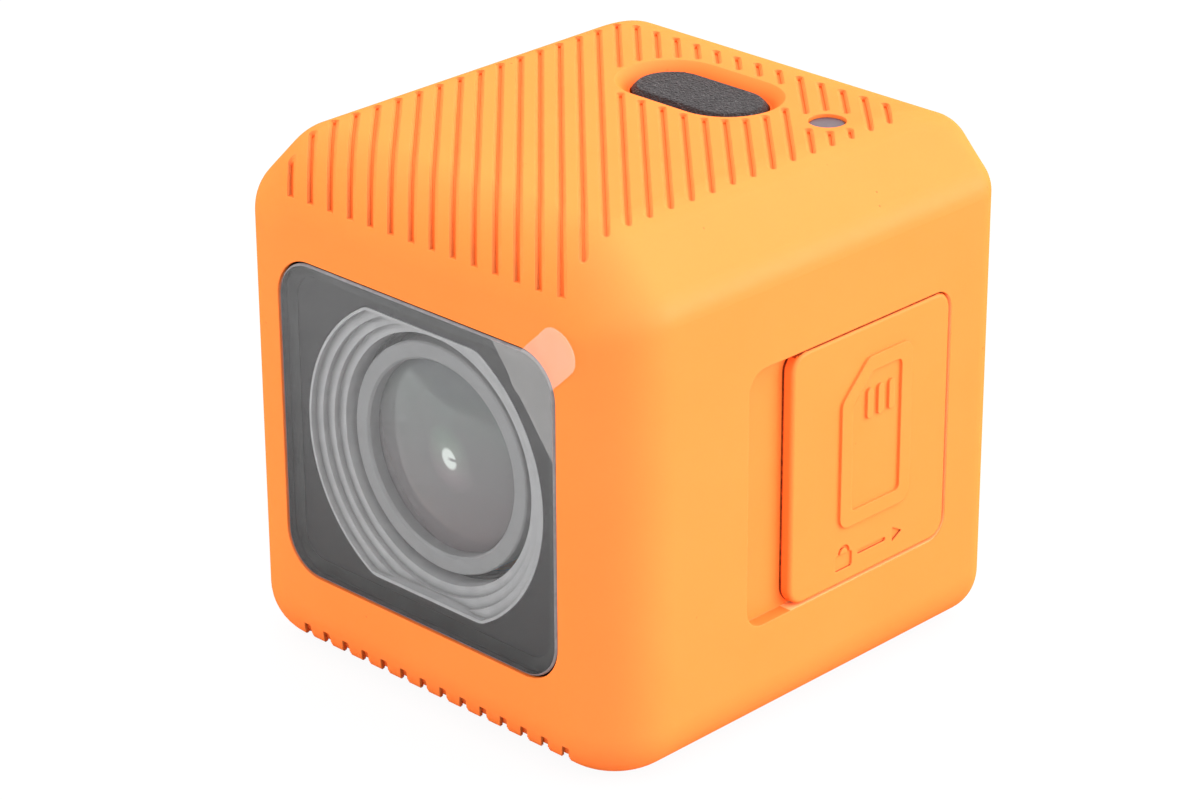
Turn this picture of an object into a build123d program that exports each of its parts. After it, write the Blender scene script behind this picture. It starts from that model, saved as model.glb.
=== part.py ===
from build123d import *
import math
import os

os.makedirs("parts", exist_ok=True)

# ---------------------------------------------------------------- dimensions
# Millimetres. Origin: middle of the flat underside. The lens looks along -Y,
# the sliding door is on +X, the shutter button is on top (+Z).
W, D, H = 36.7, 37.8, 38.0          # body width, depth, height
DATUM = 0.3                         # pieces are laid out from a datum this far behind the middle
CHAMFER = 4.6                       # 45 degree flanks along the top sides
R_FLANK = 2.84                      # blend along the flank edges
R_FRONT = 5.2                       # soft front outline
R_BOTTOM = 3.9                      # underside edge
R_BACK = 2.2                        # back outline
TOP_FALL_LEN, TOP_FALL = 6.0, 1.85  # the top falls away towards the back

YF, YB = -D / 2 - DATUM, D / 2 - DATUM   # front and back planes
LENS_Z = 18.35                      # lens axis height

WIN_W, WIN_H, WIN_Z, WIN_R = 25.86, 23.14, 18.43, 2.95
GLASS_T, GLUE_T, BEZEL_T = 0.6, 0.1, 0.5
SEAT_DEPTH = GLASS_T + GLUE_T + BEZEL_T
WIN_GAP = 0.15

GROOVE_PITCH_X = 1.93               # spacing of the grooves measured along X
GROOVE_PHASE = 0.37
GROOVE_STEPS = ((0.58, 0.05), (0.40, 0.13), (0.22, 0.30))   # width, depth: eased shoulders
BASE_WIDTHS = (0.56, 0.43, 0.30)    # the same depths, underneath

BTN_X, BTN_Y = 0.45, 7.55           # shutter button centre
BTN_L, BTN_B = 10.7, 5.6            # shutter cap, length and breadth
BTN_TOP = 37.7
BTN_TRAVEL = 0.4
DISH_L, DISH_B, DISH_DEPTH = 12.7, 7.8, 0.85
LED_X, LED_Y, LED_R = 10.97, 8.7, 1.25

WALL_X = 15.6                       # inner face of the side walls
CAV_FRONT, CAV_BACK = -16.4, 15.9   # cavity, front and back
CAV_BOT, CAV_TOP = 2.6, 34.6

DOOR_Y0, DOOR_Y1, DOOR_Z0, DOOR_Z1 = -2.65, 13.2, 8.35, 26.7
DOOR_R, DOOR_GAP = 1.4, 0.12
RECESS_Y0, RECESS_FLOOR = -6.9, 17.35
DOOR_SLIDE = 4.0

COVER_W, COVER_Z0, COVER_Z1 = 30.3, 3.15, 33.15


def at_y(y):
    """Plane facing the front at height y along the lens axis; extrudes to -Y."""
    return Plane.XZ.offset(-y)


def dome(r, y_axis, y_edge):
    """Half-way point of a spherical surface centred on the lens axis."""
    sag = y_edge - y_axis
    rho = (r * r + sag * sag) / (2 * abs(sag))
    half = math.asin(r / rho) / 2
    side = 1 if sag > 0 else -1
    return (rho * math.sin(half), y_axis + side * rho * (1 - math.cos(half)))


LENS_AXIS = Axis((0, 0, LENS_Z), (0, 1, 0))
LENS_PLANE = Plane.XY.offset(LENS_Z)


# ------------------------------------------------------------- outer form
def outer_form(inset):
    """The body's outer form, shrunk by inset on every face."""
    w, d, zb, zt = W / 2 - inset, D / 2 - inset, inset, H - inset
    c = CHAMFER - 0.5858 * inset
    theta = 2 * math.atan(TOP_FALL / TOP_FALL_LEN)
    radius = TOP_FALL_LEN / math.sin(theta)
    y0, zc = D / 2 - TOP_FALL_LEN, H - radius
    r = radius - inset
    ym = y0 + 0.5 * (d - y0)
    with BuildPart() as form:
        with BuildSketch(Plane.YZ.offset(-w)):
            with BuildLine():
                Line((-d, zb), (-d, zt))
                Line((-d, zt), (y0, zt))
                ThreePointArc(
                    (y0, zt),
                    (ym, zc + math.sqrt(r * r - (ym - y0) ** 2)),
                    (d, zc + math.sqrt(r * r - (d - y0) ** 2)),
                )
                Line((d, zc + math.sqrt(r * r - (d - y0) ** 2)), (d, zb))
                Line((d, zb), (-d, zb))
            make_face()
        extrude(amount=2 * w)
        with BuildSketch(Plane.XZ):
            with BuildLine():
                Polyline(
                    (w - c - 1, zt + 1), (w + 1, zt - c - 1), (w + 1, zt + 1), close=True
                )
            make_face()
            mirror(about=Plane.YZ)
        extrude(amount=D, both=True, mode=Mode.SUBTRACT)
        # flank blends, then front outline, underside, and back outline
        flank = form.edges().filter_by(Axis.Y).filter_by(lambda e: e.center().Z > zt - c - 0.1)
        fillet(flank, R_FLANK - inset)
        front = (
            form.faces().sort_by(Axis.Y)[0].edges().filter_by(lambda e: e.center().Z > zb + 0.1)
        )
        fillet(front, R_FRONT - inset)
        bottom = (
            form.faces().sort_by(Axis.Z)[0].edges().filter_by(lambda e: e.center().Y < d - 0.1)
        )
        fillet(bottom, R_BOTTOM - inset)
        back = form.faces().sort_by(Axis.Y)[-1].edges()
        fillet(back, R_BACK - inset)
    return form.part.moved(Location((0, -DATUM, 0)))


OUTER = outer_form(0)
GROOVE_CORES = [(width, outer_form(depth)) for width, depth in GROOVE_STEPS]
BASE_CORES = [(width, core) for width, (_, core) in zip(BASE_WIDTHS, GROOVE_CORES)]


def groove_runs(x0, x1, y0, y1, keep_out):
    """Diagonal grooves x + y = const, cut short by the edges and keep-outs."""
    runs = []
    for k in range(-18, 19):
        c = GROOVE_PITCH_X * k + GROOVE_PHASE
        inside, t = [], -40.0
        step = 0.05
        while t < 40.0:
            x, y = c / 2 + t, c / 2 - t
            ok = x0 < x < x1 and y0 < y < y1 and not keep_out(x, y)
            if ok and not inside:
                inside = [t, t]
            elif ok:
                inside[1] = t
            if (not ok or t + step >= 40.0) and inside:
                length = (inside[1] - inside[0]) * math.sqrt(2)
                if length > 0.8:
                    mid = (inside[0] + inside[1]) / 2
                    runs.append((c / 2 + mid, c / 2 - mid, length))
                inside = []
            t += step
    return runs


def near_controls(x, y):
    half = DISH_L / 2 - DISH_B / 2
    dx = max(abs(x - BTN_X) - half, 0.0)
    if math.hypot(dx, y - BTN_Y) < DISH_B / 2 + 0.6:
        return True
    return math.hypot(x - LED_X, y - LED_Y) < 2.0


TOP_RUNS = groove_runs(-12.9, 13.7, -19.02, 14.1, near_controls)
BASE_RUNS = groove_runs(-13.9, 13.9, -19.02, 14.1, lambda x, y: False)


def groove_cutters(runs, cores, z, height):
    """One cutter per step of the groove: wide and shallow down to narrow and deep."""
    cutters = []
    for width, core in cores:
        with BuildPart() as cutter:
            with BuildSketch(Plane.XY.offset(z)):
                for cx, cy, length in runs:
                    with Locations((cx, cy)):
                        SlotOverall(length + width - 0.30, width, rotation=-45)
            extrude(amount=height)
            add(core, mode=Mode.SUBTRACT)
        cutters.append(cutter.part)
    return cutters


TOP_GROOVES = groove_cutters(TOP_RUNS, GROOVE_CORES, 34.3, 5)
BASE_GROOVES = groove_cutters(BASE_RUNS, BASE_CORES, -1, 3.6)


def hood_outline(r, flat, corner):
    """Circle cut by a flat above and below, corners softened."""
    with BuildSketch() as s:
        Circle(r)
        Rectangle(2 * r + 2, 2 * flat, mode=Mode.INTERSECT)
        if corner:
            fillet(s.vertices(), corner)
    return s.sketch


HOOD_OUT = hood_outline(12.1, 10.8, 2.0)
HOOD_LIP = hood_outline(11.15, 9.86, 1.8)

# ---------------------------------------------------------------- main case
with BuildPart() as main_case:
    add(OUTER)
    # cavity, open at the back
    with BuildSketch(at_y(CAV_BACK)):
        with BuildLine():
            Polyline(
                (-WALL_X, CAV_BOT), (WALL_X, CAV_BOT), (WALL_X, 32.35), (13.35, CAV_TOP),
                (-13.35, CAV_TOP), (-WALL_X, 32.35), close=True,
            )
        make_face()
    extrude(amount=CAV_BACK - CAV_FRONT, mode=Mode.SUBTRACT)
    with BuildSketch(at_y(YB + 1)):
        with Locations((0, 18.15)):
            RectangleRounded(28.8, 28.5, 2.2)
    extrude(amount=YB + 1 - CAV_BACK + 0.1, mode=Mode.SUBTRACT)
    with BuildSketch(at_y(YB + 1)):
        with Locations((0, 18.15)):
            RectangleRounded(COVER_W + 0.2, COVER_Z1 - COVER_Z0 + 0.2, 2.9)
    extrude(amount=2.5, mode=Mode.SUBTRACT)
    # window seat and the opening behind it
    with BuildSketch(at_y(YF + SEAT_DEPTH)):
        with Locations((0, WIN_Z)):
            RectangleRounded(WIN_W + 2 * WIN_GAP, WIN_H + 2 * WIN_GAP, WIN_R + WIN_GAP)
    extrude(amount=SEAT_DEPTH + 1, mode=Mode.SUBTRACT)
    with BuildSketch(at_y(CAV_FRONT + 0.1)):
        with Locations((0, LENS_Z)):
            add(hood_outline(12.2, 10.9, 2.1))
    extrude(amount=4, mode=Mode.SUBTRACT)
    # pilot holes for the chassis screws, blind in the front wall
    with BuildSketch(at_y(CAV_FRONT)):
        with Locations((-14.2, 4.9), (14.2, 4.9), (-14.2, 30.9), (14.2, 30.9)):
            Circle(0.62)
    extrude(amount=1.5, mode=Mode.SUBTRACT)
    # soft dish and well for the shutter button
    with BuildSketch(Plane.XY.offset(H + 0.3)):
        with Locations((BTN_X, BTN_Y)):
            SlotOverall(DISH_L + 0.9, DISH_B + 0.9)
    with BuildSketch(Plane.XY.offset(H - DISH_DEPTH)):
        with Locations((BTN_X, BTN_Y)):
            SlotOverall(BTN_L + 0.5, BTN_B + 0.5)
    loft(mode=Mode.SUBTRACT)
    with BuildSketch(Plane.XY.offset(36.2)):
        with Locations((BTN_X, BTN_Y)):
            SlotOverall(BTN_L + 0.24, BTN_B + 0.24)
    extrude(amount=2, mode=Mode.SUBTRACT)
    with BuildSketch(Plane.XY.offset(CAV_TOP - 0.1)):
        with Locations((BTN_X, BTN_Y)):
            SlotOverall(12.6, 7.5)
    extrude(amount=36.2 - CAV_TOP + 0.1, mode=Mode.SUBTRACT)
    # indicator light hole, stepped
    with BuildSketch(Plane.XY.offset(CAV_TOP - 0.1)):
        with Locations((LED_X, LED_Y)):
            Circle(LED_R + 0.06)
    extrude(amount=5, mode=Mode.SUBTRACT)
    with BuildSketch(Plane.XY.offset(CAV_TOP - 0.1)):
        with Locations((LED_X, LED_Y)):
            Circle(1.9)
    extrude(amount=0.9, mode=Mode.SUBTRACT)
    # side recess: door seat and thumb relief
    with BuildSketch(Plane.YZ.offset(RECESS_FLOOR)):
        with Locations(((RECESS_Y0 + DOOR_Y1 + DOOR_GAP) / 2, (DOOR_Z0 + DOOR_Z1) / 2)):
            RectangleRounded(
                DOOR_Y1 + DOOR_GAP - RECESS_Y0, DOOR_Z1 - DOOR_Z0 + 2 * DOOR_GAP, 1.6
            )
    extrude(amount=3, mode=Mode.SUBTRACT)
    # port bay through the wall
    with BuildSketch(Plane.YZ.offset(WALL_X - 0.5)):
        with Locations(((-1.45 + 12.2) / 2, 17.45)):
            RectangleRounded(12.2 + 1.45, 14.5, 0.9)
    extrude(amount=3, mode=Mode.SUBTRACT)
    # undercut tracks for the door's lugs, with the four entry notches
    with BuildSketch(Plane.YZ.offset(16.0)):
        with Locations((5.5, 25.05), (5.5, 9.85)):
            Rectangle(13.4, 0.95)
    extrude(amount=0.75, mode=Mode.SUBTRACT)
    with BuildSketch(Plane.YZ.offset(16.0)):
        with Locations((6.5, 25.05), (6.5, 9.85)):
            Rectangle(3.2, 0.95)
        with Locations((-0.1, 25.05), (-0.1, 9.85)):
            Rectangle(2.2, 0.95)
    extrude(amount=1.5, mode=Mode.SUBTRACT)
    for cutter in TOP_GROOVES + BASE_GROOVES:
        add(cutter, mode=Mode.SUBTRACT)

# ---------------------------------------------------------------- back cover
with BuildPart() as rear_cover:
    with BuildSketch(at_y(YB)):
        with Locations((0, 18.15)):
            RectangleRounded(COVER_W, COVER_Z1 - COVER_Z0, 2.8)
    extrude(amount=1.2)
    fillet(rear_cover.faces().sort_by(Axis.Y)[-1].edges(), 0.35)
    with BuildSketch(at_y(YB - 1.2)):
        with Locations((0, 18.15)):
            RectangleRounded(28.6, 28.3, 2.1)
            RectangleRounded(26.4, 26.1, 1.2, mode=Mode.SUBTRACT)
    extrude(amount=1.0)
    # screw pads inside the corners
    with BuildSketch(at_y(YB - 1.2)):
        with Locations((-12.0, 6.5), (12.0, 6.5), (-12.0, 28.2), (12.0, 28.2)):
            Circle(2.2)
    extrude(amount=1.0)
    # microphone boss
    with BuildSketch(at_y(YB - 1.2)):
        with Locations((0, 28.6)):
            Circle(2.6)
            Circle(2.1, mode=Mode.SUBTRACT)
    extrude(amount=1.1)
    with BuildSketch(at_y(YB)):
        with Locations((0, 28.6)):
            Circle(0.5)
    extrude(amount=3, mode=Mode.SUBTRACT)
    with Locations(at_y(YB)):
        with Locations((-12.0, 6.5), (12.0, 6.5), (-12.0, 28.2), (12.0, 28.2)):
            CounterSinkHole(radius=0.9, counter_sink_radius=1.65, depth=4, counter_sink_angle=90)

with BuildPart() as rear_cover_gasket:
    with BuildSketch(at_y(YB - 1.2)):
        with Locations((0, 18.15)):
            RectangleRounded(30.2, 29.9, 2.7)
            RectangleRounded(28.9, 28.6, 2.2, mode=Mode.SUBTRACT)
    extrude(amount=0.3)

with BuildPart() as rear_cover_screws:
    with BuildSketch(Plane.XY.offset(6.5)):
        with BuildLine():
            Polyline(
                (12.0, 18.5), (13.6, 18.5), (13.6, 18.45), (12.8, 17.65), (12.8, 12.0),
                (12.5, 11.6), (12.0, 11.6), close=True,
            )
        make_face()
    revolve(axis=Axis((12.0, 0, 6.5), (0, 1, 0)))
    with BuildSketch(at_y(YB)):
        with Locations((12.0, 6.5)):
            RegularPolygon(0.75, 6)
    extrude(amount=0.8, mode=Mode.SUBTRACT)
    first = rear_cover_screws.part
    add(mirror(first, about=Plane.YZ, mode=Mode.PRIVATE))
    add(first.moved(Location((0, 0, 21.7))))
    add(mirror(first, about=Plane.YZ, mode=Mode.PRIVATE).moved(Location((0, 0, 21.7))))

# ---------------------------------------------------------------- window
with BuildPart() as window_glass:
    with BuildSketch(at_y(YF + GLASS_T)):
        with Locations((0, WIN_Z)):
            RectangleRounded(WIN_W, WIN_H, WIN_R)
    extrude(amount=GLASS_T)
    chamfer(window_glass.faces().sort_by(Axis.Y)[0].edges(), 0.14)

with BuildPart() as window_adhesive:
    with BuildSketch(at_y(YF + GLASS_T + GLUE_T)):
        with Locations((0, WIN_Z)):
            RectangleRounded(WIN_W - 0.3, WIN_H - 0.3, WIN_R - 0.15)
            RectangleRounded(WIN_W - 2.2, WIN_H - 2.2, WIN_R - 1.1, mode=Mode.SUBTRACT)
    extrude(amount=GLUE_T)

with BuildPart() as window_bezel:
    with BuildSketch(at_y(YF + SEAT_DEPTH)):
        with Locations((0, WIN_Z)):
            RectangleRounded(WIN_W, WIN_H, WIN_R)
        with Locations((0, LENS_Z)):
            add(hood_outline(11.2, 9.91, 1.85), mode=Mode.SUBTRACT)
    extrude(amount=BEZEL_T)

with BuildPart() as window_film:
    with BuildSketch(at_y(YF)):
        with Locations((0, WIN_Z)):
            RectangleRounded(WIN_W - 0.1, WIN_H - 0.1, WIN_R - 0.05)
    extrude(amount=0.05)

# tongue-shaped tab across the upper right corner of the film
with BuildPart() as film_pull_tab:
    with BuildSketch(at_y(YF - 0.05)) as tab:
        with Locations((0, WIN_Z)):
            RectangleRounded(WIN_W - 0.1, WIN_H - 0.1, WIN_R - 0.05)
        with BuildSketch(mode=Mode.INTERSECT):
            with BuildLine():
                Polyline((7.2, 30.4), (14.0, 30.4), (14.0, 21.6), close=True)
            make_face()
        with Locations((12.2, 29.7)):
            SlotOverall(7.4, 3.3, rotation=44)
    extrude(amount=0.06)

# ---------------------------------------------------------------- lens hood
HOOD_STEPS = ((10.95, -18.05), (10.25, -17.65), (9.55, -17.25))
with BuildPart() as lens_hood:
    with BuildSketch(at_y(-18.0)):
        with Locations((0, LENS_Z)):
            add(HOOD_LIP)
    extrude(amount=0.5)
    with BuildSketch(at_y(-16.0)):
        with Locations((0, LENS_Z)):
            add(HOOD_OUT)
    extrude(amount=2.0)
    with BuildSketch(at_y(-15.75)):
        with Locations((0, LENS_Z)):
            RectangleRounded(27.4, 25.0, 3.0)
    extrude(amount=0.6)
    for radius, floor in HOOD_STEPS:
        with BuildSketch(at_y(floor)):
            with Locations((0, LENS_Z)):
                add(hood_outline(radius, 9.62, 0))
        extrude(amount=floor + 19, mode=Mode.SUBTRACT)
    with BuildSketch(at_y(-15)):
        with Locations((0, LENS_Z)):
            Circle(8.85)
    extrude(amount=4, mode=Mode.SUBTRACT)

with BuildPart() as lens_retaining_ring:
    with BuildSketch(LENS_PLANE):
        with BuildLine():
            Polyline(
                (6.9, -16.85), (7.05, -17.0), (8.05, -17.0), (8.15, -16.9), (8.15, -15.9),
                (6.9, -15.9), close=True,
            )
        make_face()
    revolve(axis=LENS_AXIS)

with BuildPart() as lens_front_element:
    with BuildSketch(LENS_PLANE):
        with BuildLine():
            ThreePointArc((0, -17.65), dome(6.85, -17.65, -16.1), (6.85, -16.1))
            Polyline((6.85, -16.1), (6.85, -15.85), (7.4, -15.85), (7.4, -14.65), (4.3, -14.65))
            ThreePointArc((4.3, -14.65), dome(4.3, -15.8, -14.65), (0, -15.8))
            Line((0, -15.8), (0, -17.65))
        make_face()
    revolve(axis=LENS_AXIS)

with BuildPart() as lens_barrel:
    with BuildSketch(LENS_PLANE):
        with BuildLine():
            Polyline(
                (7.45, -15.85), (8.15, -15.85), (8.15, -12.5), (6.0, -12.5), (6.0, -4.6),
                (3.7, -4.6), (3.7, -5.0), (4.5, -5.0), (4.5, -12.9), (6.2, -14.6),
                (7.45, -14.6), close=True,
            )
        make_face()
    revolve(axis=LENS_AXIS)

with BuildPart() as lens_spacer:
    with BuildSketch(LENS_PLANE):
        with Locations((3.95, -10.3)):
            Rectangle(1.0, 1.5)
    revolve(axis=LENS_AXIS)

with BuildPart() as lens_inner_element:
    with BuildSketch(LENS_PLANE):
        with BuildLine():
            ThreePointArc((0, -9.5), dome(4.45, -9.5, -8.6), (4.45, -8.6))
            Line((4.45, -8.6), (4.45, -7.9))
            ThreePointArc((4.45, -7.9), dome(4.45, -7.15, -7.9), (0, -7.15))
            Line((0, -7.15), (0, -9.5))
        make_face()
    revolve(axis=LENS_AXIS)

with BuildPart() as lens_rear_element:
    with BuildSketch(LENS_PLANE):
        with BuildLine():
            ThreePointArc((0, -7.0), dome(4.45, -7.0, -6.3), (4.45, -6.3))
            Line((4.45, -6.3), (4.45, -5.05))
            Line((4.45, -5.05), (0, -5.05))
            Line((0, -5.05), (0, -7.0))
        make_face()
    revolve(axis=LENS_AXIS)

with BuildPart() as lens_lock_ring:
    with BuildSketch(at_y(-10.2)):
        with Locations((0, LENS_Z)):
            Circle(8.4)
            Circle(6.05, mode=Mode.SUBTRACT)
            with PolarLocations(8.4, 12):
                Circle(0.55, mode=Mode.SUBTRACT)
    extrude(amount=1.4)

with BuildPart() as lens_mount:
    with BuildSketch(at_y(-4.2)):
        with Locations((0, LENS_Z)):
            Circle(8.0)
    extrude(amount=5.9)
    with BuildSketch(at_y(-1.2)):
        with Locations((0, LENS_Z)):
            RectangleRounded(19, 19, 1.5)
    extrude(amount=3.0)
    with BuildSketch(at_y(-4.4)):
        with Locations((0, LENS_Z)):
            Circle(6.05)
    extrude(amount=6, mode=Mode.SUBTRACT)
    with BuildSketch(at_y(-1.2)):
        with Locations((0, LENS_Z)):
            Rectangle(13, 13)
    extrude(amount=2.0, mode=Mode.SUBTRACT)
    with BuildSketch(at_y(-3.2)):
        with Locations((0, LENS_Z)):
            Rectangle(9.1, 9.1)
    extrude(amount=0.35, mode=Mode.SUBTRACT)
    with BuildSketch(at_y(-3.5)):
        with Locations((0, LENS_Z)):
            Rectangle(7.6, 7.6)
    extrude(amount=1.0, mode=Mode.SUBTRACT)

with BuildPart() as ir_filter:
    with BuildSketch(at_y(-3.22)):
        with Locations((0, LENS_Z)):
            Rectangle(9.0, 9.0)
    extrude(amount=0.3)

with BuildPart() as image_sensor:
    with BuildSketch(at_y(-1.2)):
        with Locations((0, LENS_Z)):
            Rectangle(11.0, 9.6)
    extrude(amount=1.5)
    with BuildSketch(at_y(-2.7)):
        with Locations((0, LENS_Z)):
            Rectangle(8.2, 6.6)
    extrude(amount=0.3)

BOARD_POSTS = ((-11.6, 7.6), (11.6, 7.6), (-11.6, 27.5), (11.6, 27.5))
with BuildPart() as sensor_board:
    with BuildSketch(at_y(-0.2)):
        with Locations((0, 17.55)):
            RectangleRounded(26.2, 22.7, 1.0)
        with Locations(*BOARD_POSTS):
            Circle(0.9, mode=Mode.SUBTRACT)
    extrude(amount=1.0)

with BuildPart() as sensor_screws:
    with BuildSketch(at_y(0.6)):
        with Locations(*BOARD_POSTS):
            Circle(1.4)
    extrude(amount=0.8)
    with BuildSketch(at_y(-0.2)):
        with Locations(*BOARD_POSTS):
            Circle(0.72)
    extrude(amount=4.0)
    with BuildSketch(at_y(0.6)):
        with Locations(*BOARD_POSTS):
            RegularPolygon(0.7, 6)
    extrude(amount=0.4, mode=Mode.SUBTRACT)

# ---------------------------------------------------------------- chassis
CHASSIS_SCREWS = ((-14.2, 4.9), (14.2, 4.9), (-14.2, 30.9), (14.2, 30.9))
with BuildPart() as inner_chassis:
    # front bulkhead, clamps the hood; ears reach the case screws
    with BuildSketch(at_y(-14.5)):
        with Locations((0, 17.05)):
            RectangleRounded(28.6, 26.0, 1.5)
        with Locations(*CHASSIS_SCREWS):
            Circle(1.3)
        with Locations((-13.2, 5.4), (13.2, 5.4), (-13.2, 29.9), (13.2, 29.9)):
            Rectangle(2.4, 2.4)
        with Locations((0, LENS_Z)):
            Circle(8.6, mode=Mode.SUBTRACT)
        with Locations(*CHASSIS_SCREWS):
            Circle(0.85, mode=Mode.SUBTRACT)
    extrude(amount=1.2)
    # tub behind the bulkhead
    with BuildSketch(at_y(16.0)):
        with Locations((0, 17.05)):
            RectangleRounded(28.4, 26.0, 2.4)
            Rectangle(26.6, 24.3, mode=Mode.SUBTRACT)
    extrude(amount=30.5)
    # clearance for the chassis screw heads
    with BuildSketch(at_y(-13.0)):
        with Locations(*CHASSIS_SCREWS):
            Circle(1.5)
    extrude(amount=1.5, mode=Mode.SUBTRACT)
    # port side cut away
    with BuildSketch(Plane.YZ.offset(13.0)):
        with Locations((5.2, 17.45)):
            RectangleRounded(17.6, 17.4, 1.0)
    extrude(amount=3, mode=Mode.SUBTRACT)
    # left side window for heat
    with BuildSketch(Plane.YZ.offset(-16.0)):
        with Locations((4.0, 17.45)):
            RectangleRounded(16, 14, 2.0)
    extrude(amount=3, mode=Mode.SUBTRACT)
    # lens side relief, top and bottom
    with BuildSketch(Plane.XY.offset(2)):
        with Locations((0, -8.2)):
            RectangleRounded(16, 9, 1.5)
    extrude(amount=30, mode=Mode.SUBTRACT)
    # posts to the sensor board
    with BuildSketch(at_y(-1.2)):
        with Locations(*BOARD_POSTS):
            Circle(1.5)
    extrude(amount=14.0)
    with BuildSketch(at_y(-1.2)):
        with Locations(*BOARD_POSTS):
            Circle(0.75)
    extrude(amount=4.0, mode=Mode.SUBTRACT)
    # card edge guides for the main board
    with BuildSketch(at_y(4.5)):
        with Locations((-12.9, 6.4), (12.9, 6.4), (-12.9, 27.6), (12.9, 27.6)):
            Rectangle(1.2, 3.4)
    extrude(amount=1.0)
    with BuildSketch(at_y(6.9)):
        with Locations((-12.9, 6.4), (12.9, 6.4), (-12.9, 27.6), (12.9, 27.6)):
            Rectangle(1.2, 3.4)
    extrude(amount=1.0)
    # rear posts for the cover screws
    with BuildSketch(at_y(16.0)):
        with Locations((-12.0, 6.5), (12.0, 6.5), (-12.0, 28.2), (12.0, 28.2)):
            Circle(1.75)
    extrude(amount=8.0)
    with BuildSketch(at_y(17)):
        with Locations((-12.0, 6.5), (12.0, 6.5), (-12.0, 28.2), (12.0, 28.2)):
            Circle(0.85)
    extrude(amount=6.0, mode=Mode.SUBTRACT)

with BuildPart() as chassis_screws:
    with BuildSketch(at_y(-13.7)):
        with Locations(*CHASSIS_SCREWS):
            Circle(1.25)
    extrude(amount=0.8)
    with BuildSketch(at_y(-14.5)):
        with Locations(*CHASSIS_SCREWS):
            Circle(0.6)
    extrude(amount=3.2)
    with BuildSketch(at_y(-13.7)):
        with Locations(*CHASSIS_SCREWS):
            RegularPolygon(0.6, 6)
    extrude(amount=0.4, mode=Mode.SUBTRACT)

# ---------------------------------------------------------------- boards
with BuildPart() as main_board:
    with BuildSketch(at_y(5.8)):
        with Locations((0, 17.0)):
            RectangleRounded(26.4, 23.6, 0.8)
    extrude(amount=1.2)

with BuildPart() as processor:
    with BuildSketch(at_y(4.6)):
        with Locations((-5.0, 19.0)):
            Rectangle(11.0, 11.0)
    extrude(amount=1.0)

with BuildPart() as thermal_pad:
    with BuildSketch(at_y(3.58)):
        with Locations((-5.0, 19.0)):
            Rectangle(10.0, 10.0)
    extrude(amount=0.5)

with BuildPart() as shield_can:
    with BuildSketch(at_y(4.6)):
        with Locations((-5.0, 19.0)):
            RectangleRounded(13.6, 13.6, 0.6)
    extrude(amount=1.75)
    with BuildSketch(at_y(4.6)):
        with Locations((-5.0, 19.0)):
            RectangleRounded(13.2, 13.2, 0.4)
    extrude(amount=1.55, mode=Mode.SUBTRACT)

with BuildPart() as board_flex:
    with BuildSketch(Plane.XY.offset(9.3)):
        with BuildLine():
            Line((-3.0, 0.0), (-10.6, 0.0))
            ThreePointArc((-10.6, 0.0), (-12.7, 2.1), (-10.6, 4.2))
            Line((-10.6, 4.2), (-6.0, 4.2))
        trace(line_width=0.18)
    extrude(amount=2.6)

with BuildPart() as usb_c_socket:
    with BuildSketch(Plane.YZ.offset(8.2)):
        with Locations((2.93, 17.6)):
            SlotOverall(8.94, 3.24, rotation=90)
    extrude(amount=7.2)
    with BuildSketch(Plane.YZ.offset(9.0)):
        with Locations((2.93, 17.6)):
            SlotOverall(8.34, 2.64, rotation=90)
    extrude(amount=7.2, mode=Mode.SUBTRACT)

with BuildPart() as usb_c_tongue:
    with BuildSketch(Plane.YZ.offset(9.05)):
        with Locations((2.93, 17.6)):
            Rectangle(0.7, 6.6)
    extrude(amount=5.6)
    with BuildSketch(Plane.YZ.offset(9.05)):
        with Locations((2.93, 17.6)):
            SlotOverall(8.2, 2.5, rotation=90)
    extrude(amount=0.8)

with BuildPart() as microsd_socket:
    with BuildSketch(at_y(7.5)):
        with Locations((6.3, 17.6)):
            Rectangle(15.4, 13.6)
    extrude(amount=1.65)
    with BuildSketch(at_y(7.3)):
        with Locations((6.5, 17.6)):
            Rectangle(15.2, 11.2)
    extrude(amount=1.2, mode=Mode.SUBTRACT)

with BuildPart() as microsd_card:
    with BuildSketch(at_y(7.22)):
        with BuildLine():
            Polyline(
                (0.6, 12.1), (15.4, 12.1), (15.4, 23.1), (7.6, 23.1), (6.9, 22.0),
                (5.6, 22.0), (5.1, 21.2), (0.6, 21.2), close=True,
            )
        make_face()
    extrude(amount=0.8)

with BuildPart() as card_ejector:
    with BuildSketch(at_y(7.1)):
        with Locations((2.6, 22.15)):
            Rectangle(3.6, 1.5)
    extrude(amount=0.8)

# ---------------------------------------------------------------- battery
with BuildPart() as battery:
    with BuildSketch(at_y(16.2)):
        with Locations((0, 17.0)):
            RectangleRounded(19.6, 23.4, 1.8)
    extrude(amount=8.4)
    fillet(battery.faces().sort_by(Axis.Y)[-1].edges(), 0.8)
    fillet(battery.faces().sort_by(Axis.Y)[0].edges(), 0.8)

with BuildPart() as battery_pad:
    with BuildSketch(at_y(16.9)):
        with Locations((0, 16.6)):
            RectangleRounded(16, 18, 1.5)
    extrude(amount=0.65)

with BuildPart() as battery_plug:
    with BuildSketch(at_y(7.7)):
        with Locations((-9.3, 8.2)):
            Rectangle(4.6, 3.2)
    extrude(amount=1.85)

# ---------------------------------------------------------------- button
with BuildPart() as shutter_button:
    with BuildSketch(Plane.XY.offset(35.6)):
        with Locations((BTN_X, BTN_Y)):
            SlotOverall(12.2, 7.1)
    extrude(amount=0.55)
    with BuildSketch(Plane.XY.offset(36.1)):
        with Locations((BTN_X, BTN_Y)):
            SlotOverall(BTN_L, BTN_B)
    extrude(amount=BTN_TOP - 36.1)
    chamfer(shutter_button.faces().sort_by(Axis.Z)[-1].edges(), 0.38)
    fillet(shutter_button.faces().sort_by(Axis.Z)[-1].edges(), 0.2)

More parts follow.
